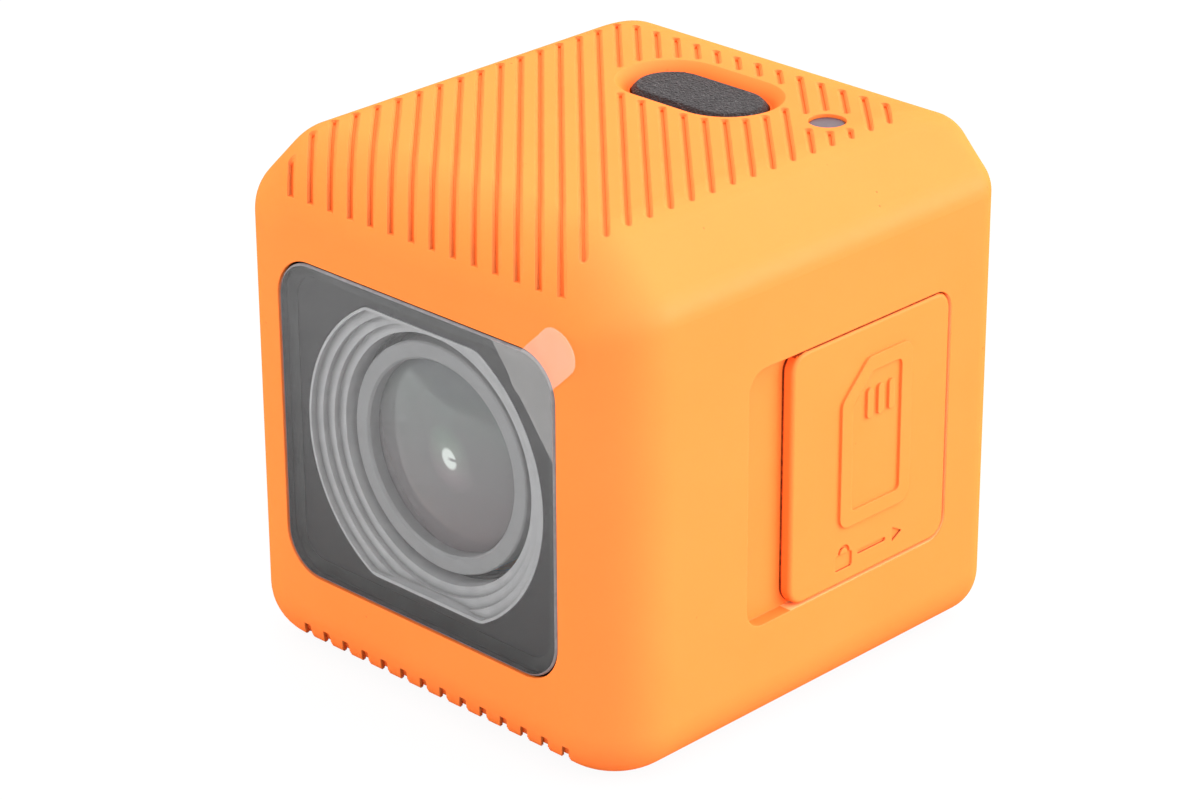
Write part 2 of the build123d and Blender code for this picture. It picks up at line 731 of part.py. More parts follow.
with BuildPart() as switch_plunger:
    with BuildSketch(Plane.XY.offset(33.1)):
        with Locations((BTN_X, BTN_Y)):
            Circle(1.2)
    extrude(amount=2.5)

with BuildPart() as button_seal:
    with BuildSketch(Plane.XY.offset(34.62)):
        with Locations((BTN_X, BTN_Y)):
            SlotOverall(12.5, 7.4)
            Circle(1.3, mode=Mode.SUBTRACT)
    extrude(amount=0.4)

with BuildPart() as button_board:
    with BuildSketch(Plane.XY.offset(30.3)):
        with Locations((3.0, 7.4)):
            RectangleRounded(20.6, 9.6, 1.0)
    extrude(amount=0.8)

with BuildPart() as tactile_switch:
    with BuildSketch(Plane.XY.offset(31.1)):
        with Locations((BTN_X, BTN_Y)):
            RectangleRounded(4.5, 4.5, 0.4)
    extrude(amount=1.2)
    with BuildSketch(Plane.XY.offset(32.3)):
        with Locations((BTN_X, BTN_Y)):
            Circle(1.0)
    extrude(amount=0.35)

with BuildPart() as status_led:
    with BuildSketch(Plane.XY.offset(31.1)):
        with Locations((LED_X, LED_Y)):
            Rectangle(1.6, 1.6)
    extrude(amount=0.7)

with BuildPart() as led_light_pipe:
    with BuildSketch(Plane.XY.offset(32.0)):
        with Locations((LED_X, LED_Y)):
            Circle(1.1)
    extrude(amount=2.6)
    with BuildSketch(Plane.XY.offset(34.55)):
        with Locations((LED_X, LED_Y)):
            Circle(1.85)
    extrude(amount=0.75)
    with BuildSketch(Plane.XY.offset(35.2)):
        with Locations((LED_X, LED_Y)):
            Circle(LED_R)
    extrude(amount=2.62)
    fillet(led_light_pipe.faces().sort_by(Axis.Z)[-1].edges(), 0.15)

with BuildPart() as button_flex:
    with BuildSketch(at_y(3.3)):
        with BuildLine():
            Line((-3.0, 30.2), (-8.5, 30.2))
        trace(line_width=0.16)
    extrude(amount=5.0)

# ---------------------------------------------------------------- small parts
with BuildPart() as microphone_mesh:
    with BuildSketch(at_y(17.38)):
        with Locations((0, 28.6)):
            Circle(2.0)
    extrude(amount=0.18)

with BuildPart() as microphone:
    with BuildSketch(at_y(17.18)):
        with Locations((0, 28.6)):
            Circle(2.0)
    extrude(amount=0.9)

with BuildPart() as antenna:
    with BuildSketch(Plane.YZ.offset(-15.58)):
        with Locations((-2.0, 27.0)):
            RectangleRounded(20.0, 5.0, 1.0)
    extrude(amount=0.2)

# ---------------------------------------------------------------- side door
with BuildPart() as side_door:
    with BuildSketch(Plane.YZ.offset(RECESS_FLOOR + 0.05)):
        with Locations(((DOOR_Y0 + DOOR_Y1) / 2, (DOOR_Z0 + DOOR_Z1) / 2)):
            RectangleRounded(DOOR_Y1 - DOOR_Y0, DOOR_Z1 - DOOR_Z0, DOOR_R)
    extrude(amount=W / 2 - RECESS_FLOOR - 0.05)
    fillet(side_door.faces().sort_by(Axis.X)[-1].edges(), 0.3)
    # plug into the port bay
    with BuildSketch(Plane.YZ.offset(15.7)):
        with Locations(((2.75 + 12.1) / 2, 17.45)):
            RectangleRounded(12.1 - 2.75, 14.3, 0.8)
    extrude(amount=RECESS_FLOOR + 0.1 - 15.7)
    # lugs that run in the undercut tracks
    with BuildSketch(Plane.YZ.offset(16.05)):
        with Locations((10.4, 17.45)):
            Rectangle(3.0, 15.8)
        with Locations((3.9, 17.45)):
            Rectangle(2.0, 15.8)
    extrude(amount=0.6)
    # seal groove
    with BuildSketch(Plane.YZ.offset(RECESS_FLOOR - 0.1)):
        with Locations((5.35, 17.45)):
            RectangleRounded(15.24, 17.84, 1.1)
            RectangleRounded(14.06, 16.66, 0.6, mode=Mode.SUBTRACT)
    extrude(amount=0.6, mode=Mode.SUBTRACT)
    # raised card outline
    with BuildSketch(Plane.YZ.offset(W / 2 - 0.05)) as card_mark:
        with BuildLine():
            Polyline(
                (2.1, 12.5), (9.2, 12.5), (9.2, 24.4), (4.7, 24.4), (2.1, 21.8), close=True
            )
        make_face()
        fillet(card_mark.vertices(), 0.9)
        with BuildSketch(mode=Mode.SUBTRACT) as inner:
            with BuildLine():
                Polyline(
                    (3.2, 13.6), (8.1, 13.6), (8.1, 23.3), (5.15, 23.3), (3.2, 21.35), close=True
                )
            make_face()
            fillet(inner.vertices(), 0.4)
        # three contact bars inside the outline
        with Locations((4.9, 21.0), (6.0, 21.0), (7.1, 21.0)):
            SlotOverall(2.2, 0.55, rotation=90)
    extrude(amount=0.25)
    # engraved padlock, track and arrow
    with BuildSketch(Plane.YZ.offset(W / 2 + 0.01)):
        with Locations((2.75, 9.98)):
            RectangleRounded(1.7, 1.15, 0.2)
        with Locations((2.75, 10.6)):
            Circle(0.6)
            Circle(0.36, mode=Mode.SUBTRACT)
        with Locations((2.75, 9.98)):
            RectangleRounded(1.7, 1.15, 0.2)
        with Locations((5.6, 10.15)):
            SlotOverall(2.9, 0.3)
        with BuildLine():
            Polyline((7.75, 9.65), (7.75, 10.75), (8.75, 10.2), close=True)
        make_face()
    extrude(amount=-0.17, mode=Mode.SUBTRACT)

with BuildPart() as door_seal:
    with BuildSketch(Plane.YZ.offset(RECESS_FLOOR + 0.01)):
        with Locations((5.35, 17.45)):
            RectangleRounded(15.2, 17.8, 1.08)
            RectangleRounded(14.1, 16.7, 0.62, mode=Mode.SUBTRACT)
    extrude(amount=0.48)

# ---------------------------------------------------------------- output
PIECES = {
    "main_case": main_case, "rear_cover": rear_cover, "rear_cover_gasket": rear_cover_gasket,
    "rear_cover_screws": rear_cover_screws, "window_glass": window_glass,
    "window_adhesive": window_adhesive, "window_bezel": window_bezel,
    "window_film": window_film, "film_pull_tab": film_pull_tab, "lens_hood": lens_hood,
    "lens_retaining_ring": lens_retaining_ring, "lens_front_element": lens_front_element,
    "lens_barrel": lens_barrel, "lens_spacer": lens_spacer,
    "lens_inner_element": lens_inner_element, "lens_rear_element": lens_rear_element,
    "lens_lock_ring": lens_lock_ring, "lens_mount": lens_mount, "ir_filter": ir_filter,
    "image_sensor": image_sensor, "sensor_board": sensor_board,
    "sensor_screws": sensor_screws, "inner_chassis": inner_chassis,
    "chassis_screws": chassis_screws, "main_board": main_board, "processor": processor,
    "thermal_pad": thermal_pad, "shield_can": shield_can, "board_flex": board_flex,
    "usb_c_socket": usb_c_socket, "usb_c_tongue": usb_c_tongue,
    "microsd_socket": microsd_socket, "microsd_card": microsd_card,
    "card_ejector": card_ejector, "battery": battery, "battery_pad": battery_pad,
    "battery_plug": battery_plug, "shutter_button": shutter_button,
    "switch_plunger": switch_plunger, "button_seal": button_seal,
    "button_board": button_board, "tactile_switch": tactile_switch,
    "status_led": status_led, "led_light_pipe": led_light_pipe, "button_flex": button_flex,
    "microphone_mesh": microphone_mesh, "microphone": microphone, "antenna": antenna,
    "side_door": side_door, "door_seal": door_seal,
}
for label, piece in PIECES.items():
    placed = piece.part.moved(Location((0, DATUM, 0)))
    placed.label = label
    export_step(placed, f"parts/{label}.step")
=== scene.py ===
import math
import random

import bmesh
import bpy
from mathutils import Matrix, Vector, noise


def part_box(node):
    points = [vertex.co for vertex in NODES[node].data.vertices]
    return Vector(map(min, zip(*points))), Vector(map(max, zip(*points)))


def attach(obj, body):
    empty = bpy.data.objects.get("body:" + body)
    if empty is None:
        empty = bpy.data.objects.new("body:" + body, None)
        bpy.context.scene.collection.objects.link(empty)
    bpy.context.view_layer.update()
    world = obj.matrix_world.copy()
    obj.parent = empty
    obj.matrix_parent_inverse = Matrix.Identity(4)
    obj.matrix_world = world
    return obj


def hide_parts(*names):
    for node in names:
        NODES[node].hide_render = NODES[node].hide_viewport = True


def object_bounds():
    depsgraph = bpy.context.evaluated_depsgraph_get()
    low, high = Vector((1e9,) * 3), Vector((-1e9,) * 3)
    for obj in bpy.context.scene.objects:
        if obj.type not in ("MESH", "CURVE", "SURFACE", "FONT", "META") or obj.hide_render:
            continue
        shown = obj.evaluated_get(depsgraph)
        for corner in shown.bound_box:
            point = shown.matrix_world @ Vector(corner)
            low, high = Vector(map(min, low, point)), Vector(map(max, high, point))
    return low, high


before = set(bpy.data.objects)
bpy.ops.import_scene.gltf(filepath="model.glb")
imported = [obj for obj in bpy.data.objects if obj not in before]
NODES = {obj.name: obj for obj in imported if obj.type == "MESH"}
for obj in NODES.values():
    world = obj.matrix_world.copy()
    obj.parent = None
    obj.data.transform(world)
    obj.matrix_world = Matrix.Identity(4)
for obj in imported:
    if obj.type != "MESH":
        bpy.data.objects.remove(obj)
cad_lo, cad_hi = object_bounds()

MM = 0.001
scene = bpy.context.scene


# ------------------------------------------------------------------ helpers
class Graph:
    """Small wrapper that builds one node material."""

    def __init__(self, name):
        self.mat = bpy.data.materials.new(name)
        self.mat.use_nodes = True
        self.nt = self.mat.node_tree
        self.nt.nodes.clear()
        self.out = self.nt.nodes.new("ShaderNodeOutputMaterial")

    def node(self, kind, **inputs):
        n = self.nt.nodes.new(kind)
        for key, value in inputs.items():
            if hasattr(n, key) and key not in n.inputs:
                setattr(n, key, value)
            else:
                self.plug(n, key, value)
        return n

    def plug(self, n, key, value):
        socket = n.inputs[key]
        if isinstance(value, bpy.types.NodeSocket):
            self.nt.links.new(value, socket)
        else:
            socket.default_value = value

    def coords(self):
        """Position in the row frame, in millimetres."""
        tc = self.nt.nodes.new("ShaderNodeTexCoord")
        mp = self.nt.nodes.new("ShaderNodeVectorMath")
        mp.operation = "SCALE"
        self.nt.links.new(tc.outputs["Object"], mp.inputs[0])
        mp.inputs["Scale"].default_value = 1000.0
        return mp.outputs[0]

    def stretch(self, vector, scale):
        m = self.nt.nodes.new("ShaderNodeVectorMath")
        m.operation = "MULTIPLY"
        self.nt.links.new(vector, m.inputs[0])
        m.inputs[1].default_value = scale
        return m.outputs[0]

    def wiped(self, vector, across, along, slope=0.37):
        """Coordinates for streaks left by a cloth: fine across, long along."""
        sep = self.nt.nodes.new("ShaderNodeSeparateXYZ")
        self.nt.links.new(vector, sep.inputs[0])
        com = self.nt.nodes.new("ShaderNodeCombineXYZ")
        self.nt.links.new(self.math("MULTIPLY", sep.outputs["X"], along), com.inputs["X"])
        level = self.math("SUBTRACT", sep.outputs["Z"], self.math("MULTIPLY", sep.outputs["X"], slope))
        self.nt.links.new(self.math("MULTIPLY", level, across), com.inputs["Z"])
        return com.outputs[0]

    def noise(self, vector, scale, detail=3.0, rough=0.5):
        n = self.nt.nodes.new("ShaderNodeTexNoise")
        self.nt.links.new(vector, n.inputs["Vector"])
        n.inputs["Scale"].default_value = scale
        n.inputs["Detail"].default_value = detail
        n.inputs["Roughness"].default_value = rough
        return n.outputs["Fac"]

    def voronoi(self, vector, scale, feature="F1"):
        n = self.nt.nodes.new("ShaderNodeTexVoronoi")
        n.feature = feature
        self.nt.links.new(vector, n.inputs["Vector"])
        n.inputs["Scale"].default_value = scale
        return n

    def ramp(self, fac, stops, interpolation="LINEAR"):
        r = self.nt.nodes.new("ShaderNodeValToRGB")
        r.color_ramp.interpolation = interpolation
        while len(r.color_ramp.elements) < len(stops):
            r.color_ramp.elements.new(0.5)
        for e, (pos, col) in zip(r.color_ramp.elements, stops):
            e.position = pos
            e.color = tuple(col) + (1.0,) if len(col) == 3 else col
        self.nt.links.new(fac, r.inputs["Fac"])
        return r.outputs["Color"]

    def remap(self, value, a, b, c, d, clamp=True):
        m = self.nt.nodes.new("ShaderNodeMapRange")
        m.clamp = clamp
        self.nt.links.new(value, m.inputs["Value"])
        for key, v in zip(("From Min", "From Max", "To Min", "To Max"), (a, b, c, d)):
            m.inputs[key].default_value = v
        return m.outputs["Result"]

    def math(self, op, a, b=0.0):
        m = self.nt.nodes.new("ShaderNodeMath")
        m.operation = op
        for i, v in enumerate((a, b)):
            if isinstance(v, bpy.types.NodeSocket):
                self.nt.links.new(v, m.inputs[i])
            else:
                m.inputs[i].default_value = v
        return m.outputs[0]

    def mix(self, fac, a, b, blend="MIX"):
        m = self.nt.nodes.new("ShaderNodeMix")
        m.data_type = "RGBA"
        m.blend_type = blend
        for key, v in (("Factor", fac), ("A", a), ("B", b)):
            socket = [s for s in m.inputs if s.name == key and s.enabled][0]
            if isinstance(v, bpy.types.NodeSocket):
                self.nt.links.new(v, socket)
            elif key == "Factor":
                socket.default_value = v
            else:
                socket.default_value = tuple(v) + (1.0,) if len(v) == 3 else v
        return [s for s in m.outputs if s.enabled][0]

    def bump(self, height, strength, distance_mm, normal=None):
        b = self.nt.nodes.new("ShaderNodeBump")
        b.inputs["Strength"].default_value = strength
        b.inputs["Distance"].default_value = distance_mm * MM
        self.nt.links.new(height, b.inputs["Height"])
        if normal is not None:
            self.nt.links.new(normal, b.inputs["Normal"])
        return b.outputs["Normal"]

    def bevel(self, radius_mm, samples=4):
        b = self.nt.nodes.new("ShaderNodeBevel")
        b.samples = samples
        b.inputs["Radius"].default_value = radius_mm * MM
        return b.outputs["Normal"]

    def ao(self, distance_mm, samples=6, inside=False):
        a = self.nt.nodes.new("ShaderNodeAmbientOcclusion")
        a.samples = samples
        a.inside = inside
        a.only_local = True
        a.inputs["Distance"].default_value = distance_mm * MM
        return a.outputs["AO"]

    def principled(self, **values):
        p = self.nt.nodes.new("ShaderNodeBsdfPrincipled")
        for key, v in values.items():
            key = key.replace("_", " ")
            if isinstance(v, (tuple, list)) and p.inputs[key].type == "RGBA":
                v = tuple(v) + (1.0,)
            self.plug(p, key, v)
        return p

    def finish(self, shader):
        self.nt.links.new(shader, self.out.inputs["Surface"])
        return self.mat


def paint(mat, *names):
    for n in names:
        if n not in NODES:
            continue
        mesh = NODES[n].data
        mesh.materials.clear()
        mesh.materials.append(mat)


# ------------------------------------------------------------------ view
FOCAL, DIST = 3970.60, 0.27109      # focal length in pixels of a 1200 wide frame
TARGET = Vector((0.93843, -2.26672, 18.17386)) * MM
SHIFT_X = 2.12
AZ, EL, ROLL = math.radians(44.3265), math.radians(24.4610), math.radians(-0.27158)
back = Vector((math.sin(AZ) * math.cos(EL), -math.cos(AZ) * math.cos(EL), math.sin(EL)))
right = Vector((math.cos(AZ), math.sin(AZ), 0.0))
up = back.cross(right)
r2 = right * math.cos(ROLL) + up * math.sin(ROLL)
u2 = -right * math.sin(ROLL) + up * math.cos(ROLL)
eye = TARGET + back * DIST


def ray(px, py):
    """Direction of the camera ray through a point of the 1200 x 800 frame."""
    return (r2 * ((px - 600 - SHIFT_X) / FOCAL) - u2 * ((py - 400) / FOCAL) - back).normalized()


# direction of the painted highlight on the front lens: where a lamp's mirror image would sit
DOME_R = 15.91 * MM
dome_c = Vector((0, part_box("lens_front_element")[0].y + DOME_R, 18.35 * MM))
v = ray(449, 459)
oc = eye - dome_c
hit = eye + v * (-oc.dot(v) - math.sqrt(oc.dot(v) ** 2 - oc.dot(oc) + DOME_R ** 2))
n_hit = (hit - dome_c).normalized()
highlight_dir = (v - 2 * v.dot(n_hit) * n_hit).normalized()


cap_lo, cap_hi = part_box("shutter_button")
CAP_X, CAP_Y = (cap_lo.x + cap_hi.x) / 2 / MM, (cap_lo.y + cap_hi.y) / 2 / MM


# ------------------------------------------------------------------ materials
def orange(name, seed=0.0, lift=1.0, recess=False, foot=False):
    """Soft-touch rubberised paint: even orange, fine grain, stray dust specks."""
    g = Graph(name)
    p = g.coords()
    broad = g.noise(p, 0.09 + seed * 0.01, 3.0, 0.55)
    fine = g.noise(p, 5.5, 4.0, 0.6)
    base = g.ramp(
        broad,
        [
            (0.30, (0.955 * lift, 0.196 * lift, 0.035)),
            (0.52, (0.965 * lift, 0.201 * lift, 0.037)),
            (0.72, (0.975 * lift, 0.206 * lift, 0.039)),
        ],
    )
    grain = g.mix(g.remap(fine, 0.35, 0.7, 0.0, 0.06), base, (1.0, 0.27, 0.055))
    # painted shade: creases go deeper and redder, as light bounces between orange walls
    open_sky = g.ao(0.32, 6)
    crease = g.remap(open_sky, 0.20, 0.62, 1.0, 0.0)
    deep = g.mix(g.math("MULTIPLY", crease, 0.55), grain, (0.52, 0.135, 0.020))
    # tiny dark specks of lint that cling to the rubbery skin
    cell = g.voronoi(p, 0.42)
    dot = g.remap(cell.outputs["Distance"], 0.020, 0.050, 1.0, 0.0)
    pick = g.remap(g.noise(p, 0.35 + seed * 0.03, 2.0), 0.52, 0.60, 0.0, 1.0)
    specks = g.math("MULTIPLY", g.math("MULTIPLY", dot, pick), 0.55)
    speckled = g.mix(specks, deep, (0.30, 0.055, 0.012))
    # rubbed edges are a touch paler: painted highlight along the edges, partly standing for wear
    geo = g.nt.nodes.new("ShaderNodeNewGeometry")
    soft = g.bevel(0.13)
    turn = g.nt.nodes.new("ShaderNodeVectorMath")
    turn.operation = "DOT_PRODUCT"
    g.nt.links.new(soft, turn.inputs[0])
    g.nt.links.new(geo.outputs["Normal"], turn.inputs[1])
    edge_highlight_and_wear = g.math(
        "MULTIPLY",
        g.math("MULTIPLY", g.remap(turn.outputs["Value"], 0.90, 0.995, 0.34, 0.0), g.remap(open_sky, 0.55, 0.85, 0.0, 1.0)),
        g.remap(g.noise(p, 0.8, 3.0), 0.4, 0.65, 0.5, 1.0),
    )
    colour = g.mix(edge_highlight_and_wear, speckled, (1.0, 0.34, 0.10))
    place = g.nt.nodes.new("ShaderNodeSeparateXYZ")
    g.nt.links.new(p, place.inputs[0])
    face = g.nt.nodes.new("ShaderNodeSeparateXYZ")
    g.nt.links.new(geo.outputs["True Normal"], face.inputs[0])
    if foot:
        # painted shadow at the foot of the door's walls, deep in the seam, and, a little less dark, on the door's
        # upward faces
        low = g.remap(place.outputs["X"], 17.52, 17.60, 1.0, 0.0)
        above = g.math(
            "MULTIPLY", g.math("GREATER_THAN", face.outputs["Z"], 0.8),
            g.remap(place.outputs["X"], 18.26, 18.34, 1.0, 0.0),
        )
        seam_shadow = g.math("MAXIMUM", g.math("MULTIPLY", low, 0.93), g.math("MULTIPLY", above, 0.75))
        seam_shadow = g.math("MULTIPLY", seam_shadow, g.remap(g.noise(p, 2.6, 3.0), 0.25, 0.6, 0.7, 1.0))
        colour = g.mix(seam_shadow, colour, (0.030, 0.006, 0.004))
    if recess:
        # painted shade on the seat walls under the window, below the glass edge, near black
        seat_shade = g.math("MULTIPLY", g.remap(place.outputs["Y"], -18.62, -18.50, 0.0, 1.0), g.math("LESS_THAN", place.outputs["Y"], -16.6))
        seat_shade = g.math("MULTIPLY", seat_shade, g.math("LESS_THAN", g.math("ABSOLUTE", place.outputs["X"]), 13.12))
        seat_shade = g.math("MULTIPLY", seat_shade, g.math("LESS_THAN", g.math("ABSOLUTE", g.math("SUBTRACT", place.outputs["Z"], 18.43)), 11.76))
        colour = g.mix(seat_shade, colour, (0.012, 0.011, 0.011))
        # painted shade: the dish round the shutter cap goes deeper orange towards the cap
        dx = g.math("MAXIMUM", g.math("SUBTRACT", g.math("ABSOLUTE", g.math("SUBTRACT", place.outputs["X"], CAP_X)), 2.55), 0.0)
        dy = g.math("SUBTRACT", place.outputs["Y"], CAP_Y)
        away = g.math("SQRT", g.math("ADD", g.math("MULTIPLY", dx, dx), g.math("MULTIPLY", dy, dy)))
        dish_shade = g.math("MULTIPLY", g.remap(away, 2.9, 4.05, 1.0, 0.0), g.math("GREATER_THAN", place.outputs["Z"], 36.0))
        colour = g.mix(dish_shade, colour, (0.88, 0.105, 0.008))
        # painted light: the walls of the side recess are kept pale
        recess_wall_light = g.math("MULTIPLY", g.math("LESS_THAN", g.math("ABSOLUTE", face.outputs["X"]), 0.5),
                      g.math("MULTIPLY", g.math("GREATER_THAN", place.outputs["X"], 17.3), g.math("GREATER_THAN", place.outputs["Y"], -2.2)))
        recess_wall_light = g.math("MULTIPLY", recess_wall_light, g.math("GREATER_THAN", face.outputs["Z"], -0.6))
        recess_wall_light = g.math("MULTIPLY", recess_wall_light, g.math("LESS_THAN", place.outputs["X"], 18.33))
        colour = g.mix(g.math("MULTIPLY", recess_wall_light, 0.85), colour, (1.0, 0.50, 0.20))
    rough = g.remap(g.noise(p, 0.9, 4.0, 0.65), 0.25, 0.75, 0.50, 0.62)
    h = g.math(
        "ADD",
        g.math("MULTIPLY", g.noise(p, 11.0, 3.0, 0.6), 0.6),
        g.math("MULTIPLY", g.noise(p, 2.3, 2.0, 0.5), 0.4),
    )
    n = g.bump(h, 0.14, 0.02, soft)
    s = g.principled(
        Base_Color=colour, Roughness=rough, Normal=n, Specular_IOR_Level=0.0,
        Subsurface_Weight=0.06, Subsurface_Radius=(0.9, 0.25, 0.06), Subsurface_Scale=0.0006,
    )
    # the velvet skin shines alike at every angle, so its gloss has a fixed share
    gloss = g.nt.nodes.new("ShaderNodeBsdfGlossy")
    g.nt.links.new(g.remap(g.noise(p, 0.9, 4.0, 0.65), 0.25, 0.75, 0.42, 0.52), gloss.inputs["Roughness"])
    g.nt.links.new(n, gloss.inputs["Normal"])
    skin = g.nt.nodes.new("ShaderNodeMixShader")
    skin.inputs[0].default_value = 0.019
    g.nt.links.new(s.outputs[0], skin.inputs[1])
    g.nt.links.new(gloss.outputs[0], skin.inputs[2])
    return g.finish(skin.outputs[0])


def rubber_black():
    """Charcoal rubber with a leather-like grain."""
    g = Graph("button_rubber")
    p = g.coords()
    v = g.voronoi(p, 3.3, "DISTANCE_TO_EDGE")
    cells = g.remap(v.outputs["Distance"], 0.0, 0.20, 0.0, 1.0)
    n1 = g.noise(p, 8.0, 4.0, 0.65)
    col = g.ramp(g.noise(p, 3.2, 5.0, 0.7), [(0.3, (0.009, 0.005, 0.006)), (0.7, (0.020, 0.013, 0.015))])
    col = g.mix(g.remap(cells, 0.0, 1.0, 0.45, 0.0), col, (0.012, 0.010, 0.010))
    fleck = g.remap(g.noise(p, 6.5, 1.0, 0.5), 0.66, 0.72, 0.0, 0.7)
    col = g.mix(fleck, col, (0.20, 0.18, 0.18))
    h = g.math("ADD", g.math("MULTIPLY", cells, 0.7), g.math("MULTIPLY", n1, 0.7))
    nrm = g.bump(h, 0.9, 0.10)
    s = g.principled(
        Base_Color=col, Roughness=g.remap(n1, 0.3, 0.7, 0.42, 0.62), Normal=nrm,
        Specular_IOR_Level=0.27,
    )
    return g.finish(s.outputs[0])


def outward_fresnel(g, ior):
    """Fresnel reflection on faces seen from outside, none from inside the pane."""
    fr = g.nt.nodes.new("ShaderNodeFresnel")
    fr.inputs["IOR"].default_value = ior
    geo = g.nt.nodes.new("ShaderNodeNewGeometry")
    return g.math("MULTIPLY", fr.outputs[0], g.math("SUBTRACT", 1.0, geo.outputs["Backfacing"]))


def thin_glass(name, tint, reflect, rough, streak=0.0, haze=0.0):
    """A flat pane: clear straight through, with Fresnel reflection on top."""
    g = Graph(name)
    p = g.coords()
    fac = g.math("MULTIPLY", outward_fresnel(g, 1.5), reflect)
    lines = g.noise(g.wiped(p, 5.0, 0.12), 2.2, 4.0, 0.6)
    if streak:
        fac = g.math("MULTIPLY", fac, g.remap(lines, 0.3, 0.7, 1.0 - streak, 1.0 + streak))
    clear = g.nt.nodes.new("ShaderNodeBsdfTransparent")
    clear.inputs["Color"].default_value = tuple(tint) + (1.0,)
    gloss = g.nt.nodes.new("ShaderNodeBsdfGlossy")
    gloss.inputs["Roughness"].default_value = rough
    g.nt.links.new(
        g.bump(g.noise(p, 0.6, 2.0), 0.10, 0.02), gloss.inputs["Normal"]
    )
    m = g.nt.nodes.new("ShaderNodeMixShader")
    g.nt.links.new(fac, m.inputs[0])
    g.nt.links.new(clear.outputs[0], m.inputs[1])
    g.nt.links.new(gloss.outputs[0], m.inputs[2])
    out = m.outputs[0]
    if haze:
        veil = g.nt.nodes.new("ShaderNodeBsdfDiffuse")
        veil.inputs["Color"].default_value = (0.92, 0.92, 0.93, 1.0)
        sep = g.nt.nodes.new("ShaderNodeSeparateXYZ")
        g.nt.links.new(p, sep.inputs[0])
        wipe = g.noise(g.wiped(p, 7.0, 0.10), 1.3, 5.0, 0.7)
        amount = g.remap(wipe, 0.25, 0.75, haze * 0.1, haze * 1.9)
        # painted light: the haze from wiping is made stronger towards the top of the window
        amount = g.math("MULTIPLY", amount, g.remap(sep.outputs["Z"], 7.0, 29.0, 0.75, 1.4))
        geo = g.nt.nodes.new("ShaderNodeNewGeometry")
        amount = g.math("MULTIPLY", amount, g.math("SUBTRACT", 1.0, geo.outputs["Backfacing"]))
        h = g.nt.nodes.new("ShaderNodeMixShader")
        g.nt.links.new(amount, h.inputs[0])
        g.nt.links.new(out, h.inputs[1])
        g.nt.links.new(veil.outputs[0], h.inputs[2])
        out = h.outputs[0]
    return g.finish(out)


def window_pane():
    """Flat window: clear faces, ground front edge, blackened side walls."""
    g = Graph("window_pane")
    p = g.coords()
    geo = g.nt.nodes.new("ShaderNodeNewGeometry")
    sep = g.nt.nodes.new("ShaderNodeSeparateXYZ")
    g.nt.links.new(geo.outputs["True Normal"], sep.inputs[0])
    facing = g.math("ABSOLUTE", sep.outputs["Y"])
    pos = g.nt.nodes.new("ShaderNodeSeparateXYZ")
    g.nt.links.new(p, pos.inputs[0])
    clear = g.nt.nodes.new("ShaderNodeBsdfTransparent")
    clear.inputs["Color"].default_value = (0.965, 0.972, 0.970, 1.0)
    gloss = g.nt.nodes.new("ShaderNodeBsdfGlossy")
    gloss.inputs["Roughness"].default_value = 0.02
    # painted reflection: the pane reflects more towards its top, less towards its bottom
    fac = g.math(
        "MULTIPLY", outward_fresnel(g, 1.5), g.remap(pos.outputs["Z"], 7.0, 29.0, 0.45, 1.15)
    )
    face = g.nt.nodes.new("ShaderNodeMixShader")
    g.nt.links.new(fac, face.inputs[0])
    g.nt.links.new(clear.outputs[0], face.inputs[1])
    g.nt.links.new(gloss.outputs[0], face.inputs[2])
    ground = g.principled(
        Base_Color=g.ramp(g.noise(p, 3.0, 3.0), [(0.3, (0.17, 0.17, 0.18)), (0.7, (0.24, 0.24, 0.25))]),
        Roughness=0.35, Specular_IOR_Level=0.6,
    )
    black = g.principled(
        Base_Color=g.ramp(g.noise(p, 2.0, 3.0), [(0.3, (0.012, 0.011, 0.012)), (0.7, (0.020, 0.019, 0.020))]),
        Roughness=0.5, Specular_IOR_Level=0.2,
    )
    rim = g.nt.nodes.new("ShaderNodeMixShader")
    g.nt.links.new(g.math("GREATER_THAN", facing, 0.4), rim.inputs[0])
    g.nt.links.new(black.outputs[0], rim.inputs[1])
    g.nt.links.new(ground.outputs[0], rim.inputs[2])
    whole = g.nt.nodes.new("ShaderNodeMixShader")
    g.nt.links.new(g.math("GREATER_THAN", facing, 0.97), whole.inputs[0])
    g.nt.links.new(rim.outputs[0], whole.inputs[1])
    g.nt.links.new(face.outputs[0], whole.inputs[2])
    return g.finish(whole.outputs[0])


